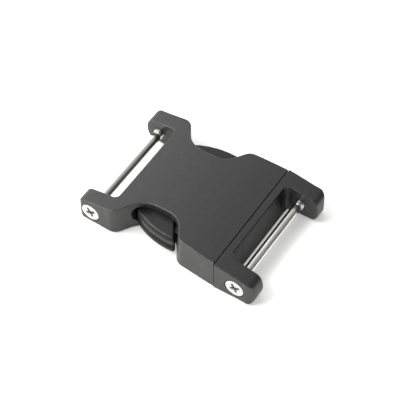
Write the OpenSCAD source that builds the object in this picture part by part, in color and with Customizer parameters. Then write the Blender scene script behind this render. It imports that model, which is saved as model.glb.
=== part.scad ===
// Side release buckle for 25 mm webbing, fastened, with a screw pin at each end.
// X runs from the socket's web pin to the plug's, Y across the webbing, Z up.
// The origin is on the resting face, under the middle of the buckle.

/* [Overall] */
// Length from nose to nose
buckle_length = 55.3; // [52:0.1:64]
// Width over the ears
buckle_width = 37.5; // [36.5:0.25:40]
// Thickness at the highest line of the crowned top
buckle_height = 11; // [10.5:0.25:13]
// Radius of the crown that the top follows along the buckle
crown_radius = 125; // [110:5:300]
// Radius that lifts the underside towards both noses
base_radius = 350; // [250:10:900]
// Gap between the socket's mouth and the plug's shoulder
seam_gap = 0.25; // [0.15:0.05:0.5]

/* [Socket outline] */
// How far the socket is drawn in on each side of its mouth
mouth_inset = 0.25; // [0:0.05:0.5]
// How far it is drawn in on each side at the corner before the waist
hip_inset = 1.25; // [0.6:0.05:1.6]
// Width of the waist where thumb and finger grip
waist_width = 22.5; // [19:0.5:25]
// Length of the mouth's closed sides
hip_length = 11.5; // [9:0.1:12]
// Length of the slope from hip to waist
hip_run = 4.05; // [3.5:0.05:5.5]
// Angle by which the mouth's slanted ends lean out below the top
hip_lean = 4; // [2:0.5:5]
// Length of the waist between its two slopes
waist_length = 11.25; // [10:0.05:12.5]
// Length of the slope from waist to shoulder
shoulder_run = 4.5; // [3.5:0.1:5]

/* [Plug outline] */
// Length of the plug that shows past the seam
plug_length = 12.3; // [12:0.05:15]
// How far the plug is drawn in on each side
plug_inset = 0.1; // [0:0.05:0.3]

/* [Noses] */
// Radius of the round noses seen from the side
nose_radius = 7; // [6:0.5:12]
// Height at which the noses reach furthest
nose_height = 4.6; // [4:0.1:6]
// Radius that blends each nose into the crown
nose_blend = 2.5; // [1:0.25:3.5]
// Radius that lifts the underside of each nose
foot_radius = 3.5; // [1.5:0.25:4.25]

/* [Walls] */
// Thickness of the top plate
top_wall = 2.15; // [1.5:0.05:2.5]
// Thickness of the bottom plate
bottom_wall = 2.15; // [1.5:0.05:2.5]
// Width of the channel that the plug slides into
channel_width = 29.2; // [28.4:0.1:30]
// Length of the window that shows the thumb pads
window_length = 15.2; // [14.6:0.1:15.6]
// Thickness of the bar between the web slot and the hollow
web_bar = 2.2; // [1.6:0.1:3]
// Clearance round the plug inside the socket
slide_gap = 0.3; // [0.15:0.05:0.4]

/* [Web slots] */
// Width of the socket's web slot
socket_slot_width = 28; // [26:0.1:28.4]
// Width of the plug's web slot
plug_slot_width = 27.6; // [26:0.1:28]
// Depth of the socket's web slot from the nose
socket_slot = 9.8; // [9.4:0.1:10.2]
// Thickness of the plug's crossbar at the top
crossbar_top = 2.15; // [1.9:0.05:2.6]
// Thickness of the crossbar where its trough is deepest
crossbar_wall = 1; // [0.8:0.05:1.4]
// Reach of the crossbar's lower lip
crossbar_lip = 2.85; // [2.6:0.05:3]
// Radius of the round trough in the crossbar
trough_radius = 8.5; // [8:0.1:10]
// Height at which the trough is deepest
trough_height = 5.6; // [5.2:0.1:6]

/* [Thumb pads] */
// Width over both thumb pads
pad_width = 33.5; // [33:0.1:34.6]
// Radius of a thumb pad's outer face in plan
pad_radius = 21.5; // [18:0.5:24]
// Height of the crest along a thumb pad
pad_crest = 8; // [7.6:0.1:8.3]
// Depth of the finger groove below the crest
pad_groove = 1; // [0.7:0.05:1.2]
// How far the rim below the groove lies behind the crest
pad_rim = 0; // [0:0.05:0.4]
// Gap between a thumb pad and the mouth's slanted end
latch_gap = 1.1; // [0.9:0.1:1.6]
// Thickness of an arm
arm_wall = 2; // [1.4:0.1:2.6]
// Width of the guide tongue between the arms
tongue_width = 6; // [4:0.5:8]
// Length of the guide tongue inside the socket
tongue_length = 20; // [14:0.5:24]

/* [Web pins] */
// Diameter of a pin's plain shank
shank_d = 2.65; // [2.2:0.05:2.8]
// Diameter over a pin's thread
thread_d = 3; // [2.9:0.05:3.2]
// Diameter of a pin's countersunk head
head_d = 5.4; // [5:0.1:5.8]
// Depth of a head below the ear's outer face
head_sink = 0.05; // [0:0.05:0.4]
// Width of the ring gap round a head
head_gap = 0.25; // [0.15:0.05:0.35]
// Depth of that ring gap
head_ring = 0.5; // [0.3:0.05:0.7]
// Clearance of a pin in its bores
pin_gap = 0.05; // [0.03:0.01:0.1]
// Length of thread that shows beside the far ear
thread_show = 0.9; // [0.5:0.1:1.5]
// Depth of thread inside the far ear
thread_grip = 3.4; // [2.5:0.1:3.6]
// Distance from the socket's nose to its pin
socket_pin_inset = 4.05; // [3.8:0.05:4.2]
// Height of the socket's pin
socket_pin_height = 4.2; // [4:0.1:5]
// Distance from the plug's nose to its pin
plug_pin_inset = 5.9; // [5.5:0.05:6]
// Height of the plug's pin
plug_pin_height = 4.6; // [4.4:0.1:5.2]

/* [Hidden] */
$fn = 96;

plastic = [0.26, 0.26, 0.255];
steel = [0.8, 0.79, 0.76];

// Size of everything that is only cut away or cut off
reach = 100;
// Distance of the crown's highest line from the middle of the length, towards the plug
crown_shift = 1.5;
// Depth to which the underside's cylinder would reach if its middle weren't cut flat
base_dip = 0.25;
// How far a cut runs past the face that it opens
past = 1;

// Places along X, from the plug's nose back to the socket's shoulder
nose_x = buckle_length / 2;
seam_x = nose_x - plug_length;
mouth_x = seam_x - seam_gap / 2;
plug_x = seam_x + seam_gap / 2;
hip_x = seam_x - hip_length;
waist_front_x = hip_x - hip_run;
waist_back_x = waist_front_x - waist_length;
waist_middle_x = (waist_front_x + waist_back_x) / 2;
shoulder_x = waist_back_x - shoulder_run;
socket_pin_x = -nose_x + socket_pin_inset;
plug_pin_x = nose_x - plug_pin_inset;

// Half widths of both outlines
ear_half = buckle_width / 2;
mouth_half = ear_half - mouth_inset;
hip_half = ear_half - hip_inset;
waist_half = waist_width / 2;
plug_half = ear_half - plug_inset;

// Rounding of the outlines' corners in plan
nose_corner = 1.4;
shoulder_corner = 3.3;
waist_back_corner = 10;
waist_front_corner = 5.6;
hip_corner = 3.2;
slot_corner = 1.4;
hollow_corner = 1;

// Inside of the socket
channel_half = channel_width / 2;
slope = hip_run / (hip_half - waist_half);
latch_x = hip_x - (hip_half - channel_half) * slope;
window_x = latch_x - window_length;
slot_x = -nose_x + socket_slot;
hollow_x = slot_x + web_bar;
hollow_inset = 2.6;
hollow_half = channel_half - hollow_inset;

// Inside of the plug
insert_floor = bottom_wall + slide_gap;
insert_drop = top_wall + slide_gap;
insert_half = channel_half - slide_gap;
root_length = 3;
arm_lift = 0.5;
arm_inset = 0.4;
arm_floor = insert_floor + arm_lift;
arm_outer = insert_half - arm_inset;
arm_height = 4.6;
arm_root = 2 * arm_wall;
arm_taper = 3;
tongue_taper = 1;

// Thumb pads in section
pad_depth = 9;
pad_slope = 8;
pad_roof = buckle_height - insert_drop;
crest_corner = 1.3;
crest_heel = 0.6;
crest_depth = 2.3;
groove_corner = 1.4;
groove_drop = 3.2;
rim_height = 1.3;
rim_corner = 0.6;
rim_top_corner = 1.2;

// Thumb pads in plan
pad_side = pad_width / 2 + past;
pad_center_x = waist_front_x - 0.65;
pad_center_y = pad_width / 2 - pad_radius;
pad_inner_half = 9.8;
pad_inner_corner = 2;
latch_step = 0.8;
latch_heel = 2;
pad_tip_gap = 0.9;
pad_tip_x = window_x + pad_tip_gap;
pad_tip_side = 0.9;
pad_tip_run = 2.6;
pad_tip_corner = 1;
pad_tip_drop = 0.3;
pad_tip_round = 1.7;

// Details of the pins
countersink = (head_d - shank_d) / 2;
cross_length = 3.3;
cross_width = 0.8;
cross_depth = 1.1;
cross_turn = 30;
groove_length = 0.35;
groove_d = 2.3;
bore_spare = 0.3;

function unit(v) = v / norm(v);

// Signed turn from one direction to another, between -180 and 180 degrees
function turn(from, to) = ((to - from + 540) % 360) - 180;

// Points of an arc, one for about every few degrees
function arc(center, radius, from, to, step = 6) =
    let (steps = max(2, ceil(abs(to - from) / step)))
    [for (i = [0 : steps])
        center + radius * [cos(from + (to - from) * i / steps), sin(from + (to - from) * i / steps)]];

// Points of one corner [x, y, radius], rounded with an arc that its sides have room for
function corner_points(before, corner, after, step) =
    let (
        p = [corner.x, corner.y],
        to_before = [before.x, before.y] - p,
        to_after = [after.x, after.y] - p,
        a = unit(to_before),
        b = unit(to_after),
        half = acos(a * b) / 2,
        room = 0.49 * min(norm(to_before), norm(to_after)) * tan(half),
        r = min(corner.z, room),
        center = p + unit(a + b) * r / sin(half),
        start = p + a * r / tan(half) - center,
        end = p + b * r / tan(half) - center,
        from = atan2(start.y, start.x)
    )
    arc(center, r, from, from + turn(from, atan2(end.y, end.x)), step);

// Points of a closed outline given by its corners; a corner of radius 0 stays sharp
function rounded(corners, step = 6) = [
    for (i = [0 : len(corners) - 1])
        let (
            n = len(corners),
            before = corners[(i + n - 1) % n],
            corner = corners[i],
            after = corners[(i + 1) % n]
        )
        each corner.z == 0 ? [[corner.x, corner.y]] : corner_points(before, corner, after, step)
];

// The same corners followed by their mirror images in the X axis
function both_sides(corners) = concat(
    corners,
    [for (i = [len(corners) - 1 : -1 : 0]) [corners[i].x, -corners[i].y, corners[i].z]]
);

// X of a thumb pad's slanted latch end at a given Y, parallel to the mouth's slanted end
function latch_end(y) = latch_x - latch_gap + slope * (y - channel_half);

// Where two circles meet, on the left of the line from the first center to the second
function circles_meet(center_a, radius_a, center_b, radius_b) =
    let (
        across = center_b - center_a,
        d = norm(across),
        along = (radius_a * radius_a - radius_b * radius_b + d * d) / (2 * d),
        aside = sqrt(radius_a * radius_a - along * along)
    )
    center_a + (along * across + aside * [-across.y, across.x]) / d;

// Half of the side view, from the underside up: foot arc, nose arc, and the arc that blends it
// into the crown, whose highest line is at crown_x
function nose_points(crown_x) =
    let (
        foot_reach = sqrt(pow(nose_radius - foot_radius, 2) - pow(nose_height - foot_radius, 2)),
        meeting = atan2(foot_radius - nose_height, foot_reach),
        nose_center = [nose_x - nose_radius, nose_height],
        foot_center = [nose_center.x + foot_reach, foot_radius],
        crown_center = [crown_x, buckle_height - crown_radius],
        blend_center = circles_meet(
            nose_center, nose_radius - nose_blend, crown_center, crown_radius - nose_blend
        ),
        from_nose = blend_center - nose_center,
        from_crown = blend_center - crown_center,
        blend_start = atan2(from_nose.y, from_nose.x),
        blend_end = atan2(from_crown.y, from_crown.x)
    )
    concat(
        arc(foot_center, foot_radius, -90, meeting),
        arc(nose_center, nose_radius, meeting, 0),
        arc(nose_center, nose_radius, 0, blend_start),
        arc(blend_center, nose_blend, blend_start, blend_end),
        [[blend_center.x + nose_blend * cos(blend_end), buckle_height + past]]
    );

// Everything under a cylinder that follows the crown, a given depth below the top
module under_crown(drop = 0) {
    translate([crown_shift, 0, buckle_height - crown_radius])
        rotate([90, 0, 0])
            cylinder(r = crown_radius - drop, h = reach, center = true, $fn = 360);
}

// Everything over a cylinder that leaves the middle of the underside flat and lifts its ends
module above_base() {
    translate([0, 0, base_radius - base_dip])
        rotate([90, 0, 0])
            cylinder(r = base_radius, h = reach, center = true, $fn = 360);
}

// Side view shared by both halves: crowned top, round noses, underside flat in the middle
module side_envelope() {
    plug_side = nose_points(crown_shift);
    socket_side = nose_points(-crown_shift);
    intersection() {
        under_crown();
        above_base();
        rotate([90, 0, 0])
            linear_extrude(reach, center = true)
                polygon(concat(
                    plug_side,
                    [for (i = [len(socket_side) - 1 : -1 : 0]) [-socket_side[i].x, socket_side[i].y]]
                ));
    }
}

// A slot between two ears, open at their noses, from x to the end at nose_side * nose_x
module ear_slot(x, width, nose_side) {
    translate([0, 0, -past])
        linear_extrude(buckle_height + 2 * past)
            polygon(rounded(both_sides([
                [x, width / 2, slot_corner],
                [nose_side * (nose_x + past), width / 2, 0]
            ])));
}

// Bores of one web pin: countersunk through the near ear, whose outer face is at -face in Y,
// and blind in the far ear; the ears' inner faces are at -inner and inner
module pin_bores(x, z, face, inner) {
    depth = inner + thread_grip + bore_spare;
    seat = face - head_sink - pin_gap;
    translate([x, 0, z])
        rotate([90, 0, 0]) {
            translate([0, 0, -depth])
                cylinder(d = thread_d + 2 * pin_gap, h = depth + face);
            translate([0, 0, seat - countersink])
                cylinder(d1 = shank_d, d2 = head_d, h = countersink);
            translate([0, 0, seat - head_ring])
                cylinder(d = head_d + 2 * head_gap, h = reach);
        }
}

// One web pin: cross-recess countersunk head, plain shank, groove and thread
module web_pin(x, z, face, inner) {
    head_face = face - head_sink;
    thread_start = inner - thread_show;
    thread_end = inner + thread_grip;
    color(steel)
        translate([x, 0, z])
            rotate([90, 0, 0])
                difference() {
                    rotate_extrude()
                        polygon([
                            [0, head_face],
                            [head_d / 2, head_face],
                            [shank_d / 2, head_face - countersink],
                            [shank_d / 2, -thread_start + groove_length],
                            [groove_d / 2, -thread_start + groove_length],
                            [groove_d / 2, -thread_start],
                            [thread_d / 2, -thread_start],
                            [thread_d / 2, -thread_end + groove_length],
                            [groove_d / 2, -thread_end],
                            [0, -thread_end]
                        ]);
                    for (angle = [0, 90])
                        rotate([0, 0, angle + cross_turn])
                            translate([0, 0, head_face])
                                cube([cross_length, cross_width, 2 * cross_depth], center = true);
                }
}

module socket_body() {
    color(plastic)
        difference() {
            intersection() {
                socket_block();
                side_envelope();
            }
            ear_slot(slot_x, socket_slot_width, -1);
            socket_hollow();
            pin_bores(socket_pin_x, socket_pin_height, ear_half, socket_slot_width / 2);
        }
}

// Straight block from the middle of the waist back, and forward one that leans about the top
module socket_block() {
    intersection() {
        linear_extrude(buckle_height)
            socket_outline();
        translate([waist_middle_x - reach, -reach / 2, 0])
            cube(reach);
    }
    intersection() {
        translate([0, 0, buckle_height])
            rotate([0, hip_lean, 0])
                linear_extrude(4 * buckle_height, center = true)
                    socket_outline();
        translate([waist_middle_x, -reach / 2, 0])
            cube([mouth_x - waist_middle_x, reach, reach]);
    }
}

// Plan of the socket, which runs past the mouth
module socket_outline() {
    polygon(rounded(both_sides([
        [mouth_x + past, mouth_half, 0],
        [hip_x, hip_half, hip_corner],
        [waist_front_x, waist_half, waist_front_corner],
        [waist_back_x, waist_half, waist_back_corner],
        [shoulder_x, ear_half, shoulder_corner],
        [-nose_x, ear_half, nose_corner]
    ])));
}

// Hollow from the mouth to the web bar, open at the waist on both sides
module socket_hollow() {
    intersection() {
        under_crown(top_wall);
        translate([0, 0, bottom_wall])
            linear_extrude(buckle_height)
                polygon(rounded(both_sides([
                    [seam_x + past, channel_half, 0],
                    [window_x, channel_half, 0],
                    [window_x, hollow_half, 0],
                    [hollow_x, hollow_half, hollow_corner]
                ])));
    }
}

module plug_body() {
    color(plastic)
        difference() {
            union() {
                intersection() {
                    linear_extrude(buckle_height)
                        plug_outline();
                    side_envelope();
                }
                plug_insert();
            }
            ear_slot(seam_x + crossbar_lip, plug_slot_width, 1);
            crossbar_trough();
            pin_bores(plug_pin_x, plug_pin_height, plug_half, plug_slot_width / 2);
        }
}

module plug_outline() {
    polygon(rounded(both_sides([
        [plug_x, plug_half, 0],
        [nose_x, plug_half, nose_corner]
    ])));
}

// Round trough along the crossbar; it undercuts the top only between the slot's round corners
module crossbar_trough() {
    trough_cylinder(plug_slot_width - 2 * slot_corner);
    intersection() {
        ear_slot(seam_x + crossbar_top, plug_slot_width, 1);
        trough_cylinder(plug_slot_width + past);
    }
}

module trough_cylinder(width) {
    translate([seam_x + crossbar_wall + trough_radius, 0, trough_height])
        rotate([90, 0, 0])
            cylinder(r = trough_radius, h = width, center = true, $fn = 180);
}

// What slides into the socket: root block, two sprung arms with thumb pads, guide tongue
module plug_insert() {
    intersection() {
        under_crown(insert_drop);
        union() {
            translate([seam_x - root_length, -insert_half, insert_floor])
                cube([root_length + past, 2 * insert_half, buckle_height]);
            for (side = [-1, 1])
                scale([1, side, 1]) {
                    plug_arm();
                    thumb_pad();
                }
            guide_tongue();
        }
    }
}

// One arm, from the root block to its thumb pad, thinner towards the pad
module plug_arm() {
    translate([0, 0, arm_floor])
        linear_extrude(arm_height)
            polygon([
                [seam_x, arm_outer],
                [seam_x, arm_outer - arm_root],
                [seam_x - root_length, arm_outer - arm_root],
                [latch_x + arm_taper, arm_outer - arm_wall],
                [latch_x - arm_taper, arm_outer - arm_wall],
                [latch_x - arm_taper, arm_outer]
            ]);
}

// Thumb pad: a curved bar with a crest, a finger groove, a rim, a slanted latch end and a tip
// whose top is rounded off
module thumb_pad() {
    intersection() {
        translate([pad_center_x, pad_center_y, 0])
            rotate_extrude($fn = 180)
                polygon(rounded([
                    [pad_radius - pad_depth, insert_floor, 0],
                    [pad_radius - pad_rim, insert_floor, rim_corner],
                    [pad_radius - pad_rim, insert_floor + rim_height, rim_top_corner],
                    [pad_radius - pad_groove, pad_crest - groove_drop, groove_corner],
                    [pad_radius, pad_crest - crest_depth, crest_heel],
                    [pad_radius, pad_crest, crest_corner],
                    [pad_radius - (pad_roof - pad_crest) / tan(pad_slope), pad_roof, 0],
                    [pad_radius - pad_depth, pad_roof, 0]
                ], 15));
        linear_extrude(buckle_height)
            polygon(rounded([
                [latch_end(pad_side), pad_side, 0],
                [latch_end(channel_half - latch_step), channel_half - latch_step, 0],
                [latch_end(channel_half - latch_step), arm_outer - arm_wall, 0],
                [latch_end(channel_half) - latch_heel, pad_inner_half, pad_inner_corner],
                [pad_tip_x, pad_inner_half, pad_inner_corner],
                [pad_tip_x, channel_half - pad_tip_side, pad_tip_corner],
                [pad_tip_x + pad_tip_run, pad_side, 0]
            ]));
        rotate([90, 0, 0])
            linear_extrude(reach, center = true)
                polygon(rounded([
                    [pad_tip_x, insert_floor, 0],
                    [hip_x, insert_floor, 0],
                    [hip_x, pad_roof, 0],
                    [pad_tip_x + pad_tip_run, pad_roof, 0],
                    [pad_tip_x, pad_crest - pad_tip_drop, pad_tip_round]
                ]));
    }
}

module guide_tongue() {
    translate([0, 0, arm_floor])
        linear_extrude(arm_height)
            polygon(rounded(both_sides([
                [seam_x, tongue_width / 2, 0],
                [seam_x - tongue_length, tongue_width / 2 - tongue_taper, tongue_taper]
            ])));
}

module socket_web_pin() {
    web_pin(socket_pin_x, socket_pin_height, ear_half, socket_slot_width / 2);
}

module plug_web_pin() {
    web_pin(plug_pin_x, plug_pin_height, plug_half, plug_slot_width / 2);
}

socket_body();
plug_body();
socket_web_pin();
plug_web_pin();
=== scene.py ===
"""Looks of a fastened side release buckle: two moulded halves and two steel web pins."""

import math

import bmesh
import bpy
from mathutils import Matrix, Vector


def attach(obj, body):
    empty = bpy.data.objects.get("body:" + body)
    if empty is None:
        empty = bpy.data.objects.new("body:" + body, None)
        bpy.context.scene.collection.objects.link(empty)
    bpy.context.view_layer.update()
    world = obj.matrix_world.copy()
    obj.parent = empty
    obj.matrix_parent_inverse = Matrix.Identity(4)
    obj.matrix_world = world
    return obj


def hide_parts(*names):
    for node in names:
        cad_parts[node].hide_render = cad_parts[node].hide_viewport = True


MM = 0.001

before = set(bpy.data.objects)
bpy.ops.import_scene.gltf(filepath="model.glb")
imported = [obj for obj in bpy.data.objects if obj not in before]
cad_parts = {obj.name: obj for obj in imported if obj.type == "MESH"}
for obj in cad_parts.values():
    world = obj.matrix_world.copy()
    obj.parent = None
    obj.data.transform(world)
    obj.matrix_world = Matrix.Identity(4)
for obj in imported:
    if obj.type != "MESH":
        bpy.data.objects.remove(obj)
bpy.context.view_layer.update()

# Camera, fitted to the photograph
SENSOR = 36.0
LENS = 139.84
CAMERA_AZIMUTH = math.radians(33.22)
CAMERA_ELEVATION = math.radians(52.60)
CAMERA_DISTANCE = 421.6 * MM
CAMERA_TARGET = Vector((-3.16, 3.46, 0.0)) * MM
CAMERA_CLIP = (0.01, 10)

# Floor: size and drop in metres
FLOOR_SIZE = 3.0
FLOOR_DROP = 0.02 * MM
FLOOR_COLOR = (0.93, 0.93, 0.92, 1)
FLOOR_ROUGHNESS = 0.9
FLOOR_SPECULAR = 0.1
FLOOR_GLOW_COLOR = (1, 1, 0.99, 1)
FLOOR_GLOW = 0.34

# Studio light: how much height counts, and brightness by how far left and up a direction points
LIGHT_LIFT = 0.4
LIGHT_MOST = 2.6
LIGHT_STOPS = (
    (-0.7, 0.24), (-0.25, 0.3), (0, 0.48), (0.36, 0.66), (0.65, 1.07), (0.85, 1.9), (0.97, 2.6),
)
HORIZON_LIGHT = 0.08
HORIZON_END = 0.3

# Key softbox: where it stands in degrees and metres, its size in metres and its power in watts
KEY_AZIMUTH = -48
KEY_ELEVATION = 50
KEY_DISTANCE = 0.9
KEY_SIZE = (0.45, 0.45)
KEY_POWER = 5

# Noise of the materials: waves per metre, detail and roughness of the noise
PLASTIC_TONE = (900, 6, 0.7)
PLASTIC_GLOSS = (420, 5)
PAD_TONE = (700, 5, 0.7)
PAD_STIPPLE = (1100, 1)
STEEL_STREAKS = ((5200, 90, 5200), 4, 0.6)
STEEL_GLOSS = ((2600, 160, 2600), 5)

# Bumps: waves per metre and detail of the noise, depth in millimetres and strength
PLASTIC_GRAIN = ((260, 2, 0.01, 0.25), (1500, 3, 0.01, 0.4), (6500, 2, 0.004, 0.8))
PAD_GRAIN = (4500, 2, 0.006, 0.7)
PAD_STIPPLE_DEPTH = 0.05
PAD_STIPPLE_STRENGTH = 0.5
STEEL_STREAK_DEPTH = 0.006
STEEL_MOTTLE = (2400, 4, 0.004, 0.4)
STEEL_BUMP_STRENGTH = 0.4

# Places of the second and third materials on the pieces: the rounded edges with their painted highlight,
# the cross recess with its painted shade, and the thumb pads with their painted shade
EDGE_HIGHLIGHT_MATERIAL = 1
RECESS_SHADE_MATERIAL = 1
PAD_MATERIAL = 2

PLASTIC_IOR = 1.48
PLASTIC_SPECULAR = 0.6
PAD_SPECULAR = 0.34

# Both halves, in millimetres, as the CAD has them. Cylinders along Y are given as (X, Z, radius)
NOSE_X = 27.65
CROWN = (1.5, -114.0, 125.0)
BASE = (0.0, 349.75, 350.0)
NOSE_RADIUS = 7.0
NOSE_HEIGHT = 4.6
FOOT_RADIUS = 3.5
BLEND_RADIUS = 2.5
SLOT_ROUND = 1.4

# Heights and reaches past the solids, for prisms that cut or are cut
LOW_Z = -1
HIGH_Z = 12
CUT_REACH = 40
OVERRUN = 1

# Socket, in millimetres
SOCKET_HALF = 18.75
SOCKET_EAR_INNER = 14
SOCKET_SLOT_X = -17.85
SOCKET_PIN = (-23.6, 4.2)
MOUTH_X = 15.225
MOUTH_HALF = 18.5
HIP = (3.85, 17.5, 3.2)
WAIST_FRONT = (-0.2, 11.25, 5.6)
WAIST_BACK = (-11.45, 11.25, 10)
WAIST_MIDDLE_X = -5.825
SHOULDER = (-15.95, 18.75, 3.3)
SOCKET_NOSE_ROUND = 1.9
HIP_LEAN = math.radians(4)
LEAN_Z = 11
WALL = 2.15
HOLLOW_HALF = 12
HOLLOW_X = -15.65
HOLLOW_ROUND = 1
WINDOW_HALF = 14.6
WINDOW_X = -13.229
WINDOW_ROUND = 2.4
WINDOW_TOP = ((WINDOW_X, 8.1), (-6, 10))
UNDER_TOP_REACH = 20
UNDER_TOP_STEP = 2

# Plug, in millimetres
PLUG_HALF = 18.65
PLUG_EAR_INNER = 13.8
PLUG_SLOT_X = 18.2
PLUG_PIN = (21.75, 4.6)
PLUG_FACE_X = 15.475
PLUG_NOSE_ROUND = 2.6
TROUGH = (24.85, 5.6, 8.5)
TROUGH_HALF = 12.4
TROUGH_CORNER_X = 17.5
TROUGH_CORNER_HALF = 14.3
STRIP_SHIFT = 0.7

# What the plug slides into the socket, in millimetres
ROOT_X = (12.35, 15.7)
ROOT_HALF = 14.3
ROOT_Z = (2.45, 7.75)
TONGUE = ((12.6, 3, 0), (-4.65, 2, 0.9))
TONGUE_Z = (2.95, 7.5)
ARM = ((12.6, 13.9), (12.6, 9.9), (12.35, 9.9), (4.97, 11.9), (-3, 11.9), (-3, 13.9))
ARM_Z = (2.95, 7.55)

# Bores of the pins, in millimetres
BORE_RADIUS = 1.55
HEAD_BORE_RADIUS = 2.95
HEAD_BORE_DEPTH = 0.6
COUNTERSINK_RADIUS = 2.4
COUNTERSINK_DEPTH = 1.5
COUNTERSINK_OVERLAP = 0.1
THREAD_GRIP = 3.4
BORE_SIDES = 40
HEAD_BORE_SIDES = 64
TROUGH_SIDES = 90

# Width of the facets of each curved face, in millimetres
CROWN_STRIP = 2.5
BASE_STRIP = 4.0
NOSE_STRIP = 0.7
FOOT_STRIP = 0.6
BLEND_STRIP = 0.4
PLAN_STEP_LEAST = 0.25
PLAN_STEP_SHARE = 0.1
STRIP_SEARCH = 0.8
STRIP_SEARCH_STEP = 0.05
STRIP_ROOM = 0.5
SAME_PLACE = 0.001
LEAST_STRIP = 0.1
MOST_ROUND = 0.49

# Cleaning of the meshes, in millimetres
MERGE_DISTANCE = 0.002
FLAT_ANGLE = math.radians(0.3)

# Rounding of the moulded edges, in millimetres
SOFT_ANGLE = math.radians(14)
SHARP_ANGLE = math.radians(50)
EDGE_ROUND = 0.3
EDGE_SEGMENTS = 3
FOOT_ROUND = 0.5
FOOT_HEIGHT = 1.0
FOOT_REACH = 22
SEAM_X = 15.35
SEAM_ROUND = 0.1
SEAM_NEAR = 0.2
BORE_ROUND = 0.08
BORE_REACH = 3.2
BORE_START_Y = 13
INSERT_END_X = 15
INNER_EDGE_REACH = (10.6, 15)
INNER_EDGE_Z = (2, 9.2)
TROUGH_TOP = 9.3
TROUGH_EDGE_X = 18.8
TROUGH_EDGE_HALF = 13.9
NOSE_BEND_X = 24.6
NOSE_BEND_Y = 14.5

# Thumb pads, in millimetres: the sweep's middle, and the slanted line of the latch end
PAD_CENTER = (-0.85, -4.75)
PAD_RADIUS = 21.5
PAD_TIP_X = -12.33
PAD_SLANT = math.atan(0.648)
PAD_LATCH_REACH = -10.818 * math.cos(PAD_SLANT)
PAD_INNER_LATCH_X = -4.2
PAD_INNER_Y = 9.8
PAD_TIP_ROUND = 1.3
PAD_LATCH_ROUND = 0.9
PAD_LENGTH = 14.4
PAD_END_STEPS = 7
PAD_STEPS = 26
PAD_MIDDLE_Z = 5.4
PAD_UP = 3.15
PAD_DOWN = 2.95
PAD_END_FADE = 5
PAD_END_SLIM = 3
PAD_TOP_DROP = 2.45
PAD_FACET = 0.14

# Outer side of a thumb pad in section: depth below its outer radius, height and corner radius
PAD_SECTION = (
    (6, 2.45, 0), (0, 2.45, 0.6), (0, 3.75, 1.2), (1, 4.8, 1.4),
    (0, 5.7, 0.6), (0, 8, 1.3), (3.91, 8.55, 1), (6, 8.55, 0),
)

# Pins, in millimetres. A turned form is a list of radii, each with its place along the pin
CROSS_TURN = math.radians(30)
CROSS_SLIM = 0.27
CROSS_STEPS = (-45, -36, -28, -21, -17, -14.036, -9.5, -4.7, 0, 4.7, 9.5, 14.036, 17, 21, 28, 36)
PIN_ANGLES = [CROSS_TURN + math.radians(90 * k + a) for k in range(4) for a in CROSS_STEPS]
PIN_SHARP_ANGLE = math.radians(40)
SHANK_RADIUS = 1.325
SHANK_STEPS = 12
TIP = ((1.05, 0), (1.19, 0.12))
TIP_LENGTH = 0.2
THREAD_INSIDE = 0.9
THREAD_PITCH = 0.5
THREAD_RADIUS = 1.5
THREAD_DEPTH = 0.3
THREAD_CREST = 0.14
THREAD_FLANK = 0.62
THREAD_RUNOUT = 0.1
THREAD_STEPS_A_TURN = 12
GROOVE = ((1.2, 0.02), (1.15, 0.1), (1.15, 0.26), (1.22, 0.35), (1.29, 0.38), (1.325, 0.48))
HEAD_SEAT = 0.05
HEAD_DEPTH = 1.375
HEAD_RIM = ((2.6, 0.1), (2.68, 0.07), (2.7, 0.03), (2.68, 0.008), (2.62, 0), (2.2, 0))
CROSS_RECESS = ((1.68, 0), (1.62, 0.05), (1.45, 0.6), (0.9, 1.05), (0.35, 1.25))


def direction(azimuth, elevation):
    """Unit vector from the object towards a place given by azimuth and elevation, in radians."""
    return Vector((
        math.sin(azimuth) * math.cos(elevation),
        -math.cos(azimuth) * math.cos(elevation),
        math.sin(elevation),
    ))


def add_camera():
    data = bpy.data.cameras.new("camera")
    data.sensor_width = SENSOR
    data.lens = LENS
    data.clip_start, data.clip_end = CAMERA_CLIP
    camera = bpy.data.objects.new("camera", data)
    back = direction(CAMERA_AZIMUTH, CAMERA_ELEVATION)
    camera.location = CAMERA_TARGET + back * CAMERA_DISTANCE
    camera.rotation_mode = "QUATERNION"
    camera.rotation_quaternion = (-back).to_track_quat("-Z", "Y")
    bpy.context.scene.collection.objects.link(camera)
    bpy.context.scene.camera = camera


def add_key_softbox():
    data = bpy.data.lights.new("key softbox", "AREA")
    data.shape = "RECTANGLE"
    data.size, data.size_y = KEY_SIZE
    data.energy = KEY_POWER
    light = bpy.data.objects.new("key softbox", data)
    towards = direction(math.radians(KEY_AZIMUTH), math.radians(KEY_ELEVATION))
    light.location = towards * KEY_DISTANCE
    light.rotation_mode = "QUATERNION"
    light.rotation_quaternion = (-towards).to_track_quat("-Z", "Y")
    bpy.context.scene.collection.objects.link(light)


def add_stage():
    bpy.ops.mesh.primitive_plane_add(size=FLOOR_SIZE, location=(0, 0, -FLOOR_DROP))
    floor = bpy.context.object
    floor.name = "floor"
    material = bpy.data.materials.new("floor")
    material.use_nodes = True
    shader = material.node_tree.nodes["Principled BSDF"]
    shader.inputs["Base Color"].default_value = FLOOR_COLOR
    shader.inputs["Roughness"].default_value = FLOOR_ROUGHNESS
    shader.inputs["Specular IOR Level"].default_value = FLOOR_SPECULAR
    shader.inputs["Emission Color"].default_value = FLOOR_GLOW_COLOR
    shader.inputs["Emission Strength"].default_value = FLOOR_GLOW
    floor.data.materials.append(material)


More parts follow.
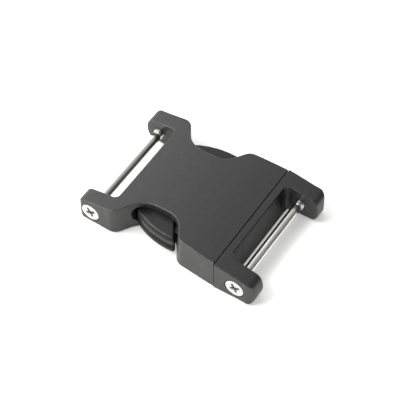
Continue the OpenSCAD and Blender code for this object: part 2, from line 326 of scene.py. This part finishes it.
def add_world():
    """Soft studio light: bright on the left and above, dim on the right and at the horizon."""
    world = bpy.data.worlds.new("studio")
    bpy.context.scene.world = world
    world.use_nodes = True
    tree = world.node_tree
    towards = tree.nodes.new("ShaderNodeSeparateXYZ")
    tree.links.new(tree.nodes.new("ShaderNodeTexCoord").outputs["Generated"], towards.inputs[0])
    leftness = tree.nodes.new("ShaderNodeMath")
    leftness.operation = "MULTIPLY_ADD"
    leftness.inputs[1].default_value = LIGHT_LIFT
    tree.links.new(towards.outputs["Z"], leftness.inputs[0])
    tree.links.new(minus(tree, towards.outputs["X"]), leftness.inputs[2])
    ramp = tree.nodes.new("ShaderNodeValToRGB")
    stops = ramp.color_ramp.elements
    for i, (place, light) in enumerate(LIGHT_STOPS):
        stop = stops[i] if i < len(stops) else stops.new(1)
        stop.position = (place + 1) / 2
        share = light / LIGHT_MOST
        stop.color = (share, share, share, 1)
    tree.links.new(spread(tree, leftness.outputs[0], 0, 1, -1, 1), ramp.inputs["Fac"])
    above = spread(tree, towards.outputs["Z"], HORIZON_LIGHT, 1, 0, HORIZON_END)
    strength = tree.nodes.new("ShaderNodeMath")
    strength.operation = "MULTIPLY"
    strength.inputs[1].default_value = LIGHT_MOST
    tree.links.new(above, strength.inputs[0])
    background = tree.nodes["Background"]
    tree.links.new(ramp.outputs["Color"], background.inputs["Color"])
    tree.links.new(strength.outputs[0], background.inputs["Strength"])


def minus(tree, value):
    """The value with its sign turned."""
    node = tree.nodes.new("ShaderNodeMath")
    node.operation = "MULTIPLY"
    node.inputs[1].default_value = -1
    tree.links.new(value, node.inputs[0])
    return node.outputs[0]


def new_material(name):
    """A new material, its node tree and its shader."""
    material = bpy.data.materials.new(name)
    material.use_nodes = True
    return material, material.node_tree, material.node_tree.nodes["Principled BSDF"]


def noise(tree, scale, detail, roughness=0.5):
    """Noise over the object's own coordinates; scale is in waves per metre, one number or three."""
    place = tree.nodes.new("ShaderNodeTexCoord").outputs["Object"]
    texture = tree.nodes.new("ShaderNodeTexNoise")
    if isinstance(scale, tuple):
        mapping = tree.nodes.new("ShaderNodeMapping")
        mapping.inputs["Scale"].default_value = scale
        tree.links.new(place, mapping.inputs["Vector"])
        place = mapping.outputs["Vector"]
        scale = 1
    tree.links.new(place, texture.inputs["Vector"])
    texture.inputs["Scale"].default_value = scale
    texture.inputs["Detail"].default_value = detail
    texture.inputs["Roughness"].default_value = roughness
    return texture.outputs["Fac"]


def spread(tree, value, low, high, start=0.3, end=0.7):
    """The value's range from start to end, spread over the range from low to high."""
    node = tree.nodes.new("ShaderNodeMapRange")
    node.inputs["From Min"].default_value = start
    node.inputs["From Max"].default_value = end
    node.inputs["To Min"].default_value = low
    node.inputs["To Max"].default_value = high
    tree.links.new(value, node.inputs["Value"])
    return node.outputs["Result"]


def shades(tree, value, dark, light):
    """A colour between two, by the value."""
    ramp = tree.nodes.new("ShaderNodeValToRGB")
    ramp.color_ramp.elements[0].position = 0.3
    ramp.color_ramp.elements[0].color = (*dark, 1)
    ramp.color_ramp.elements[1].position = 0.7
    ramp.color_ramp.elements[1].color = (*light, 1)
    tree.links.new(value, ramp.inputs["Fac"])
    return ramp.outputs["Color"]


def bumps(tree, layers):
    """Normal with layers of bumps, each given as (height value, depth in millimetres, strength)."""
    normal = None
    for value, depth, strength in layers:
        bump = tree.nodes.new("ShaderNodeBump")
        bump.inputs["Distance"].default_value = depth * MM
        bump.inputs["Strength"].default_value = strength
        tree.links.new(value, bump.inputs["Height"])
        if normal:
            tree.links.new(normal, bump.inputs["Normal"])
        normal = bump.outputs["Normal"]
    return normal


def moulded_plastic(name, dark, light, smooth, rough):
    """Dark acetal with the fine satin grain of a spark-eroded mould."""
    material, tree, shader = new_material(name)
    tone = noise(tree, *PLASTIC_TONE)
    tree.links.new(shades(tree, tone, dark, light), shader.inputs["Base Color"])
    gloss = spread(tree, noise(tree, *PLASTIC_GLOSS), smooth, rough)
    tree.links.new(gloss, shader.inputs["Roughness"])
    shader.inputs["Specular IOR Level"].default_value = PLASTIC_SPECULAR
    shader.inputs["IOR"].default_value = PLASTIC_IOR
    normal = bumps(tree, [
        (noise(tree, waves, detail), depth, strength)
        for waves, detail, depth, strength in PLASTIC_GRAIN
    ])
    tree.links.new(normal, shader.inputs["Normal"])
    return material


def pad_plastic(name, dark, light, smooth, rough):
    """The same acetal with the coarser, duller stipple of the thumb pads."""
    material, tree, shader = new_material(name)
    stipple = noise(tree, *PAD_STIPPLE)
    tone = noise(tree, *PAD_TONE)
    tree.links.new(shades(tree, tone, dark, light), shader.inputs["Base Color"])
    tree.links.new(spread(tree, stipple, rough, smooth), shader.inputs["Roughness"])
    shader.inputs["Specular IOR Level"].default_value = PAD_SPECULAR
    shader.inputs["IOR"].default_value = PLASTIC_IOR
    waves, detail, depth, strength = PAD_GRAIN
    normal = bumps(tree, [
        (stipple, PAD_STIPPLE_DEPTH, PAD_STIPPLE_STRENGTH),
        (noise(tree, waves, detail), depth, strength),
    ])
    tree.links.new(normal, shader.inputs["Normal"])
    return material


def turned_steel(name, dark, light, smooth, rough):
    """Steel with fine streaks along the pin, bright on the pins and darker in the cross recess, where its
    colour is painted shade.
    """
    material, tree, shader = new_material(name)
    streaks = noise(tree, *STEEL_STREAKS)
    tree.links.new(shades(tree, streaks, dark, light), shader.inputs["Base Color"])
    gloss = spread(tree, noise(tree, *STEEL_GLOSS), smooth, rough)
    tree.links.new(gloss, shader.inputs["Roughness"])
    shader.inputs["Metallic"].default_value = 1
    waves, detail, depth, strength = STEEL_MOTTLE
    normal = bumps(tree, [
        (streaks, STEEL_STREAK_DEPTH, STEEL_BUMP_STRENGTH),
        (noise(tree, waves, detail), depth, strength),
    ])
    tree.links.new(normal, shader.inputs["Normal"])
    return material


def circles_meet(center_a, radius_a, center_b, radius_b):
    """Where two circles meet, on the left of the line from the first center to the second."""
    across = Vector(center_b) - Vector(center_a)
    d = across.length
    along = (radius_a ** 2 - radius_b ** 2 + d * d) / (2 * d)
    aside = math.sqrt(radius_a ** 2 - along * along)
    return Vector(center_a) + (along * across + aside * Vector((-across.y, across.x))) / d


def arc(center, radius, start, end, step):
    """Points of an arc between two angles, about a given distance apart."""
    count = max(1, round(abs(end - start) * radius / step))
    return [
        (center[0] + radius * math.cos(a), center[1] + radius * math.sin(a))
        for a in (start + (end - start) * i / count for i in range(count + 1))
    ]


def angle_to(point, center):
    """Angle of the line from the center to the point."""
    return math.atan2(point[1] - center[1], point[0] - center[0])


def rounded(corners, step):
    """Points of a closed outline given by its corners (a, b, radius)."""
    points = []
    for i, (a, b, radius) in enumerate(corners):
        here = Vector((a, b))
        if radius == 0:
            points.append((a, b))
            continue
        before = Vector(corners[i - 1][:2]) - here
        after = Vector(corners[(i + 1) % len(corners)][:2]) - here
        half = before.angle(after) / 2
        radius = min(radius, MOST_ROUND * min(before.length, after.length) * math.tan(half))
        inwards = (before.normalized() + after.normalized()).normalized()
        center = here + inwards * radius / math.sin(half)
        start = angle_to(here + before.normalized() * radius / math.tan(half), center)
        end = angle_to(here + after.normalized() * radius / math.tan(half), center)
        turn = (end - start + math.pi) % (2 * math.pi) - math.pi
        count = max(2, round(abs(turn) * radius / step(radius)))
        for k in range(count + 1):
            at = start + turn * k / count
            points.append((center.x + radius * math.cos(at), center.y + radius * math.sin(at)))
    return points


def both_sides(corners):
    """The same corners followed by their mirror images in the X axis."""
    return corners + [(a, -b, radius) for a, b, radius in reversed(corners)]


def plan_step(radius):
    """Distance between the points of a rounded corner in plan."""
    return max(PLAN_STEP_LEAST, PLAN_STEP_SHARE * radius)


def base_height(x):
    """Height of the underside, which rises slightly towards both ends."""
    return max(0, BASE[1] - math.sqrt(BASE[2] ** 2 - x * x))


def crown_height(x, crown_x, drop=0):
    """Height of the crowned top, or of a face a given depth below it."""
    return CROWN[1] + math.sqrt((CROWN[2] - drop) ** 2 - (x - crown_x) ** 2)


def strip_places(start, end, pitch, taken):
    """Places from start to end for the facets' edges, clear of the places taken or right at them."""
    def room(x):
        return min((abs(x - t) for t in taken if abs(x - t) > SAME_PLACE), default=pitch)

    places = []
    search = round(STRIP_SEARCH / STRIP_SEARCH_STEP)
    count = round(abs(end - start) / pitch)
    for i in range(1, count):
        target = start + (end - start) * i / count
        near = [target + STRIP_SEARCH_STEP * k for k in range(-search, search + 1)]
        near += [t for t in taken if abs(t - target) < STRIP_SEARCH]
        places.append(
            max(near, key=lambda x: (round(min(room(x), STRIP_ROOM), 2), -abs(x - target)))
        )
    return places + [end]


def side_view(side, from_x, taken):
    """Outline in X and Z of one half, from a cut at from_x to its nose; side is 1 at the plug.

    taken holds the places along X where the plan's corners meet the crown.
    """
    crown_x = side * CROWN[0]
    nose = (NOSE_X - NOSE_RADIUS, NOSE_HEIGHT)
    foot_reach = math.sqrt((NOSE_RADIUS - FOOT_RADIUS) ** 2 - (NOSE_HEIGHT - FOOT_RADIUS) ** 2)
    foot = (nose[0] + foot_reach, FOOT_RADIUS)
    crown = (crown_x, CROWN[1])
    blend = circles_meet(nose, NOSE_RADIUS - BLEND_RADIUS, crown, CROWN[2] - BLEND_RADIUS)
    foot_start = circles_meet((0, BASE[1]), BASE[2], foot, FOOT_RADIUS)
    flat_end = math.sqrt(BASE[2] ** 2 - BASE[1] ** 2)
    blend_end = angle_to(blend, crown)
    base_x = [from_x] + [x for x in (-flat_end, flat_end) if x > from_x + LEAST_STRIP]
    count = max(1, round((foot_start.x - base_x[-1]) / BASE_STRIP))
    base_x += [base_x[-1] + (foot_start.x - base_x[-1]) * i / count for i in range(1, count)]
    points = [(x, base_height(x)) for x in base_x]
    points += arc(foot, FOOT_RADIUS, angle_to(foot_start, foot), angle_to(foot, nose), FOOT_STRIP)
    points += arc(nose, NOSE_RADIUS, angle_to(foot, nose), angle_to(blend, nose), NOSE_STRIP)[1:]
    points += arc(blend, BLEND_RADIUS, angle_to(blend, nose), blend_end, BLEND_STRIP)[1:]
    crown_start = points[-1][0]
    for x in strip_places(crown_start, from_x, CROWN_STRIP, [side * x for x in taken]):
        points.append((x, crown_height(x, crown_x)))
    return [(side * x, z) for x, z in points]


def prism(rings):
    """A closed mesh between two rings of points."""
    mesh = bmesh.new()
    low, high = ([mesh.verts.new(p) for p in ring] for ring in rings)
    mesh.faces.new(low)
    mesh.faces.new(high)
    for i in range(len(low)):
        mesh.faces.new((low[i - 1], low[i], high[i], high[i - 1]))
    bmesh.ops.recalc_face_normals(mesh, faces=mesh.faces)
    return mesh


def upright(points, low, high):
    """A prism along Z of an outline in plan."""
    return prism([[(x, y, z) for x, y in points] for z in (low, high)])


def crosswise(points, reach):
    """A prism along Y of an outline in X and Z."""
    return prism([[(x, y, z) for x, z in points] for y in (-reach, reach)])


def bar(x, z, radius, start, end, count):
    """A cylinder along Y, with as many sides as count says."""
    ring = [
        (x + radius * math.cos(math.tau * i / count), z + radius * math.sin(math.tau * i / count))
        for i in range(count)
    ]
    return prism([[(a, y, b) for a, b in ring] for y in (start, end)])


def as_object(mesh, name):
    """Makes an object of a mesh, which is used up."""
    data = bpy.data.meshes.new(name)
    mesh.to_mesh(data)
    mesh.free()
    obj = bpy.data.objects.new(name, data)
    bpy.context.scene.collection.objects.link(obj)
    return obj


def combined(first, others):
    """The first mesh joined with, cut to or cut by the others, given as (operation, mesh)."""
    whole = as_object(first, "shape")
    tools = []
    for i, (operation, mesh) in enumerate(others):
        tools.append(as_object(mesh, f"tool{i}"))
        modifier = whole.modifiers.new(f"step{i}", "BOOLEAN")
        modifier.operation = operation
        modifier.solver = "EXACT"
        modifier.object = tools[-1]
    bpy.context.view_layer.update()
    graph = bpy.context.evaluated_depsgraph_get()
    mesh = bmesh.new()
    mesh.from_mesh(whole.evaluated_get(graph).data)
    for obj in [whole] + tools:
        bpy.data.objects.remove(obj)
    bmesh.ops.remove_doubles(mesh, verts=mesh.verts, dist=MERGE_DISTANCE)
    bmesh.ops.dissolve_limit(mesh, angle_limit=FLAT_ANGLE, verts=mesh.verts, edges=mesh.edges)
    return mesh


def stays_sharp(middle, node):
    """Whether an edge with this middle is one of the plug's insert, the windows, trough or noses."""
    if node == "plug_body" and middle.x < INSERT_END_X:
        return True
    in_plan = abs(middle.x) < INNER_EDGE_REACH[0] and abs(middle.y) < INNER_EDGE_REACH[1]
    if node == "socket_body" and in_plan and INNER_EDGE_Z[0] < middle.z < INNER_EDGE_Z[1]:
        return True
    at_trough = SEAM_X + SEAM_NEAR < middle.x < TROUGH_EDGE_X and abs(middle.y) < TROUGH_EDGE_HALF
    if at_trough and middle.z < TROUGH_TOP:
        return True
    return abs(middle.x) > NOSE_BEND_X and abs(middle.y) > NOSE_BEND_Y


def rounding(edge, node):
    """Radius of the rounding along one edge, or 0 where it stays as it is."""
    angle = edge.calc_face_angle(0)
    if angle < SOFT_ANGLE or not edge.is_convex:
        return 0
    middle = (edge.verts[0].co + edge.verts[1].co) / 2
    fade = min(1, (angle - SOFT_ANGLE) / (SHARP_ANGLE - SOFT_ANGLE))
    if all(abs(v.co.x - SEAM_X) < SEAM_NEAR for v in edge.verts):
        return SEAM_ROUND * fade
    for x, z in (SOCKET_PIN, PLUG_PIN):
        if math.hypot(middle.x - x, middle.z - z) < BORE_REACH and abs(middle.y) > BORE_START_Y:
            return BORE_ROUND * fade
    if stays_sharp(middle, node):
        return 0
    if middle.z < FOOT_HEIGHT and abs(middle.x) < FOOT_REACH:
        return FOOT_ROUND * fade
    return EDGE_ROUND * fade


def finish_moulding(mesh, name, node):
    """Makes a piece of a mesh in millimetres that stands for a moulded CAD node."""
    mesh.normal_update()
    weight = mesh.edges.layers.float.new("bevel_weight_edge")
    for edge in mesh.edges:
        edge[weight] = rounding(edge, node)
        if edge.calc_face_angle(0) > SHARP_ANGLE and edge[weight] == 0:
            edge.smooth = False
    bmesh.ops.scale(mesh, vec=(MM, MM, MM), verts=mesh.verts)
    piece = as_object(mesh, name)
    piece.data.polygons.foreach_set("use_smooth", [True] * len(piece.data.polygons))
    bevel = piece.modifiers.new("round edges", "BEVEL")
    bevel.width = MM
    bevel.segments = EDGE_SEGMENTS
    bevel.limit_method = "WEIGHT"
    bevel.use_clamp_overlap = False
    # The rounded faces take the lighter edge material, a painted highlight along the edges
    bevel.material = EDGE_HIGHLIGHT_MATERIAL
    normals = piece.modifiers.new("even normals", "WEIGHTED_NORMAL")
    normals.keep_sharp = True
    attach(piece, "root")
    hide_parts(node)
    return piece


def bores(pin, face, inner):
    """Cuts for one pin: its bore through both ears, and the head's countersink and recess."""
    x, z = pin
    sink = []
    for radius, depth in (
        (COUNTERSINK_RADIUS, HEAD_BORE_DEPTH - COUNTERSINK_OVERLAP),
        (BORE_RADIUS - COUNTERSINK_OVERLAP, COUNTERSINK_DEPTH),
    ):
        angles = [math.tau * i / HEAD_BORE_SIDES for i in range(HEAD_BORE_SIDES)]
        sink.append([
            (x + radius * math.cos(a), depth - face, z + radius * math.sin(a)) for a in angles
        ])
    start = -face - OVERRUN
    head = bar(x, z, HEAD_BORE_RADIUS, start, -face + HEAD_BORE_DEPTH, HEAD_BORE_SIDES)
    return [
        ("DIFFERENCE", prism(sink)),
        ("DIFFERENCE", bar(x, z, BORE_RADIUS, start, inner + THREAD_GRIP, BORE_SIDES)),
        ("DIFFERENCE", head),
    ]


def slot_outline(x, half, side):
    """The space between the ears in plan, open past the nose; side is 1 at the plug."""
    return rounded(both_sides([(x, half, SLOT_ROUND), (side * (NOSE_X + OVERRUN), half, 0)]), plan_step)


def ear_slot(x, half, side):
    return upright(slot_outline(x, half, side), LOW_Z, HIGH_Z)


def leaning(x, z):
    """Where a place along X comes at a height, since the hips' walls lean."""
    if x < WAIST_MIDDLE_X:
        return x
    return x / math.cos(HIP_LEAN) + (z - LEAN_Z) * math.tan(HIP_LEAN)


def socket_hollow():
    """The space inside the socket, with a window on each side."""
    inside = both_sides([
        (SEAM_X + OVERRUN, HOLLOW_HALF, 0), (HOLLOW_X, HOLLOW_HALF, HOLLOW_ROUND),
    ])
    hollow = upright(rounded(inside, plan_step), WALL, HIGH_Z)
    windows = crosswise(rounded([
        (SEAM_X + OVERRUN, WALL, 0),
        (WINDOW_X, WALL, WINDOW_ROUND),
        (*WINDOW_TOP[0], WINDOW_ROUND),
        (*WINDOW_TOP[1], 0),
        (SEAM_X + OVERRUN, WINDOW_TOP[1][1], 0),
    ], plan_step), WINDOW_HALF)
    under_top = [(-UNDER_TOP_REACH, LOW_Z), (UNDER_TOP_REACH, LOW_Z)]
    under_top += [
        (x, crown_height(x, CROWN[0], WALL))
        for x in range(UNDER_TOP_REACH, -UNDER_TOP_REACH - 1, -UNDER_TOP_STEP)
    ]
    return combined(hollow, [
        ("UNION", windows), ("INTERSECT", crosswise(under_top, CUT_REACH)),
    ])


def socket_moulding():
    plan = rounded(both_sides([
        (MOUTH_X + OVERRUN, MOUTH_HALF, 0),
        HIP,
        WAIST_FRONT,
        WAIST_BACK,
        SHOULDER,
        (-NOSE_X, SOCKET_HALF, SOCKET_NOSE_ROUND),
    ]), plan_step)
    rings = [[(leaning(x, z), y, z) for x, y in plan] for z in (LOW_Z, HIGH_Z)]
    taken = [x for x, y in slot_outline(SOCKET_SLOT_X, SOCKET_EAR_INNER, -1)]
    taken += [leaning(x, crown_height(min(x, MOUTH_X), CROWN[0])) for x, y in plan]
    mesh = combined(prism(rings), [
        ("INTERSECT", crosswise(side_view(-1, -MOUTH_X, taken), CUT_REACH)),
        ("DIFFERENCE", ear_slot(SOCKET_SLOT_X, SOCKET_EAR_INNER, -1)),
        ("DIFFERENCE", socket_hollow()),
        *bores(SOCKET_PIN, SOCKET_HALF, SOCKET_EAR_INNER),
    ])
    return finish_moulding(mesh, "socket_moulding", "socket_body")


def append(mesh, other):
    """Adds a second mesh to the first as a shell of its own."""
    data = bpy.data.meshes.new("shell")
    other.to_mesh(data)
    other.free()
    mesh.from_mesh(data)
    bpy.data.meshes.remove(data)


def add_insert(mesh):
    """Adds what the plug slides into the socket: root block, two arms with pads and a tongue."""
    back, front = ROOT_X
    root = [(back, -ROOT_HALF), (front, -ROOT_HALF), (front, ROOT_HALF), (back, ROOT_HALF)]
    append(mesh, upright(root, *ROOT_Z))
    append(mesh, upright(rounded(both_sides(list(TONGUE)), plan_step), *TONGUE_Z))
    for side in (1, -1):
        append(mesh, upright([(x, side * y) for x, y in ARM], *ARM_Z))
        append(mesh, thumb_pad(side))


def pad_inset(end_distances):
    """How far a thumb pad's outline draws in near its ends, which gives it soft corners."""
    inset = 0
    for distance, radius in zip(end_distances, (PAD_TIP_ROUND, PAD_LATCH_ROUND)):
        if distance < radius:
            inset = radius - math.sqrt(radius ** 2 - (radius - distance) ** 2)
    return inset


def pad_ring(profile, along, inset):
    """Section of a thumb pad at one place along it, from 0 at the tip to 1 at the latch end."""
    slim = 1 - inset / PAD_END_SLIM
    ring = []
    for depth, height in profile:
        radius = PAD_RADIUS - depth - inset * max(0, 1 - depth / PAD_END_FADE)
        tip = math.asin((PAD_TIP_X - PAD_CENTER[0]) / radius)
        latch = PAD_SLANT + math.asin(PAD_LATCH_REACH / radius)
        turn = tip + (latch - tip) * along
        x = PAD_CENTER[0] + radius * math.sin(turn)
        y = PAD_CENTER[1] + radius * math.cos(turn)
        z = PAD_MIDDLE_Z + (height - PAD_MIDDLE_Z) * slim
        ring.append((x, y, min(z, crown_height(x, CROWN[0], PAD_TOP_DROP))))
    x = PAD_TIP_X + (PAD_INNER_LATCH_X - PAD_TIP_X) * along
    top = min(PAD_MIDDLE_Z + PAD_UP * slim, crown_height(x, CROWN[0], PAD_TOP_DROP))
    ring.append((x, PAD_INNER_Y, top))
    ring.append((x, PAD_INNER_Y, PAD_MIDDLE_Z - PAD_DOWN * slim))
    return ring


def thumb_pad(side):
    """A thumb pad swept along its round outer face, with soft ends."""
    profile = rounded(PAD_SECTION, lambda radius: PAD_FACET)
    mesh = bmesh.new()
    rings = []
    for along, end_distances in pad_stations():
        section = pad_ring(profile, along, pad_inset(end_distances))
        rings.append([mesh.verts.new((x, side * y, z)) for x, y, z in section])
    for before, after in zip(rings, rings[1:]):
        for i in range(len(before)):
            mesh.faces.new((before[i - 1], before[i], after[i], after[i - 1]))
    mesh.faces.new(rings[0])
    mesh.faces.new(rings[-1])
    bmesh.ops.recalc_face_normals(mesh, faces=mesh.faces)
    for face in mesh.faces:
        face.material_index = PAD_MATERIAL
    return mesh


def pad_stations():
    """Places along a thumb pad from 0 to 1, each with its distances from both ends."""
    quarter = math.pi / 2
    ends = range(1, PAD_END_STEPS + 1)
    places = [0] + [PAD_TIP_ROUND * (1 - math.cos(quarter * i / PAD_END_STEPS)) for i in ends]
    start = places[-1]
    end = PAD_LENGTH - PAD_LATCH_ROUND
    places += [start + (end - start) * i / PAD_STEPS for i in range(1, PAD_STEPS + 1)]
    places += [
        PAD_LENGTH - PAD_LATCH_ROUND * (1 - math.sin(quarter * i / PAD_END_STEPS)) for i in ends
    ]
    return [(p / PAD_LENGTH, (p, PAD_LENGTH - p)) for p in places]


def lathe(mesh, rings, place):
    """Adds faces between rings of points (across, up, along the pin) and caps the first one."""
    rows = [[mesh.verts.new(place(p)) for p in ring] for ring in rings]
    for before, after in zip(rows, rows[1:]):
        for i in range(len(before)):
            mesh.faces.new((before[i - 1], before[i], after[i], after[i - 1]))
    mesh.faces.new(rows[0])
    return rows


def ring(radius, along):
    """A round ring of points across the pin."""
    return [(radius * math.cos(a), radius * math.sin(a), along) for a in PIN_ANGLES]


def thread_ring(along):
    """One ring of a thread, whose radius changes round it as the helix does."""
    points = []
    for angle in PIN_ANGLES:
        phase = (along / THREAD_PITCH + angle / math.tau) % 1
        depth = min(1, max(0, (abs(phase - 0.5) * 2 - THREAD_CREST) / THREAD_FLANK))
        radius = THREAD_RADIUS - THREAD_DEPTH * depth
        points.append((radius * math.cos(angle), radius * math.sin(angle), along))
    return points


def cross_ring(along, reach):
    """Outline of the cross recess, with its corners at the pin's own angles."""
    points = []
    for angle in PIN_ANGLES:
        off = (angle - CROSS_TURN + math.pi / 4) % (math.pi / 2) - math.pi / 4
        side = reach * CROSS_SLIM / max(abs(math.sin(off)), 0.0001)
        radius = min(reach / math.cos(off), side)
        points.append((radius * math.cos(angle), radius * math.sin(angle), along))
    return points


def web_pin(name, node, pin, face, inner):
    """A turned pin: rolled thread, groove, plain shank and countersunk head with a cross recess."""
    x, z = pin
    head = face - HEAD_SEAT
    start = -(inner - THREAD_INSIDE)
    end = -(inner + THREAD_GRIP)
    rings = [ring(radius, end + along) for radius, along in TIP]
    length = start - end - TIP_LENGTH - THREAD_RUNOUT
    steps = round(length / (THREAD_PITCH / THREAD_STEPS_A_TURN))
    rings += [thread_ring(end + TIP_LENGTH + length * i / steps) for i in range(steps + 1)]
    rings += [ring(radius, start + along) for radius, along in GROOVE]
    shank_start = start + GROOVE[-1][1]
    shank_end = head - HEAD_DEPTH
    rings += [
        ring(SHANK_RADIUS, shank_start + (shank_end - shank_start) * i / SHANK_STEPS)
        for i in range(1, SHANK_STEPS + 1)
    ]
    rings += [ring(radius, head - depth) for radius, depth in HEAD_RIM]
    recess_start = len(rings) + 1
    rings += [cross_ring(head - depth, reach) for reach, depth in CROSS_RECESS]
    mesh = bmesh.new()
    rows = lathe(mesh, rings, lambda p: (x + p[0], -p[2], z + p[1]))
    mesh.faces.new(rows[-1])
    # Faces inside the cross recess take the darker steel, painted shade in its depth
    deep = {v for row in rows[recess_start:] for v in row}
    for face in mesh.faces:
        if all(v in deep for v in face.verts):
            face.material_index = RECESS_SHADE_MATERIAL
    bmesh.ops.recalc_face_normals(mesh, faces=mesh.faces)
    for edge in mesh.edges:
        edge.smooth = edge.calc_face_angle(0) < PIN_SHARP_ANGLE
    bmesh.ops.scale(mesh, vec=(MM, MM, MM), verts=mesh.verts)
    piece = as_object(mesh, name)
    piece.data.polygons.foreach_set("use_smooth", [True] * len(piece.data.polygons))
    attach(piece, "root")
    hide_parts(node)
    return piece


def plug_moulding():
    plan = rounded(
        both_sides([(PLUG_FACE_X, PLUG_HALF, 0), (NOSE_X, PLUG_HALF, PLUG_NOSE_ROUND)]), plan_step
    )
    slot = slot_outline(PLUG_SLOT_X, PLUG_EAR_INNER, 1)
    taken = [x for x, y in plan + slot] + [x - STRIP_SHIFT for x, y in slot]
    corner_cut = bar(*TROUGH, -TROUGH_CORNER_HALF, TROUGH_CORNER_HALF, TROUGH_SIDES)
    trough_corners = combined(
        ear_slot(TROUGH_CORNER_X, PLUG_EAR_INNER, 1), [("INTERSECT", corner_cut)]
    )
    mesh = combined(upright(plan, LOW_Z, HIGH_Z), [
        ("INTERSECT", crosswise(side_view(1, PLUG_FACE_X, taken), CUT_REACH)),
        ("DIFFERENCE", ear_slot(PLUG_SLOT_X, PLUG_EAR_INNER, 1)),
        ("DIFFERENCE", trough_corners),
        ("DIFFERENCE", bar(*TROUGH, -TROUGH_HALF, TROUGH_HALF, TROUGH_SIDES)),
        *bores(PLUG_PIN, PLUG_HALF, PLUG_EAR_INNER),
    ])
    add_insert(mesh)
    return finish_moulding(mesh, "plug_moulding", "plug_body")


def dress(obj, *materials):
    for material in materials:
        obj.data.materials.append(material)


plastic = moulded_plastic(
    "moulded_plastic", dark=(0.013, 0.013, 0.0128), light=(0.021, 0.021, 0.0205), smooth=0.38, rough=0.5
)
# Rounded edges: the lighter colour is a painted highlight along them; the lower roughness makes them
# glossier as well
edges = moulded_plastic(
    "edges_painted_highlight", dark=(0.02, 0.02, 0.0196), light=(0.045, 0.045, 0.044), smooth=0.2, rough=0.36
)
# Thumb pads: the darker colour is painted shade under the socket's top plate; the coarse stipple and dull
# finish are the pads' own
pad = pad_plastic(
    "thumb_pad_plastic_painted_shade", dark=(0.008, 0.008, 0.0078), light=(0.015, 0.015, 0.0146), smooth=0.24, rough=0.5
)
steel = turned_steel(
    "stainless_steel", dark=(0.5, 0.495, 0.475), light=(0.87, 0.86, 0.83), smooth=0.12, rough=0.3
)
# Cross recess: the darker, duller steel is painted shade in the depth of the recess
recess = turned_steel(
    "cross_recess_painted_shade", dark=(0.3, 0.295, 0.28), light=(0.56, 0.55, 0.525), smooth=0.35, rough=0.55
)

dress(socket_moulding(), plastic, edges)
dress(plug_moulding(), plastic, edges, pad)
socket_pin = web_pin("socket_screw_pin", "socket_web_pin", SOCKET_PIN, SOCKET_HALF, SOCKET_EAR_INNER)
plug_pin = web_pin("plug_screw_pin", "plug_web_pin", PLUG_PIN, PLUG_HALF, PLUG_EAR_INNER)
for piece in (socket_pin, plug_pin):
    dress(piece, steel, recess)

add_camera()
add_stage()
add_world()
add_key_softbox()
bpy.context.scene.view_settings.view_transform = "Standard"
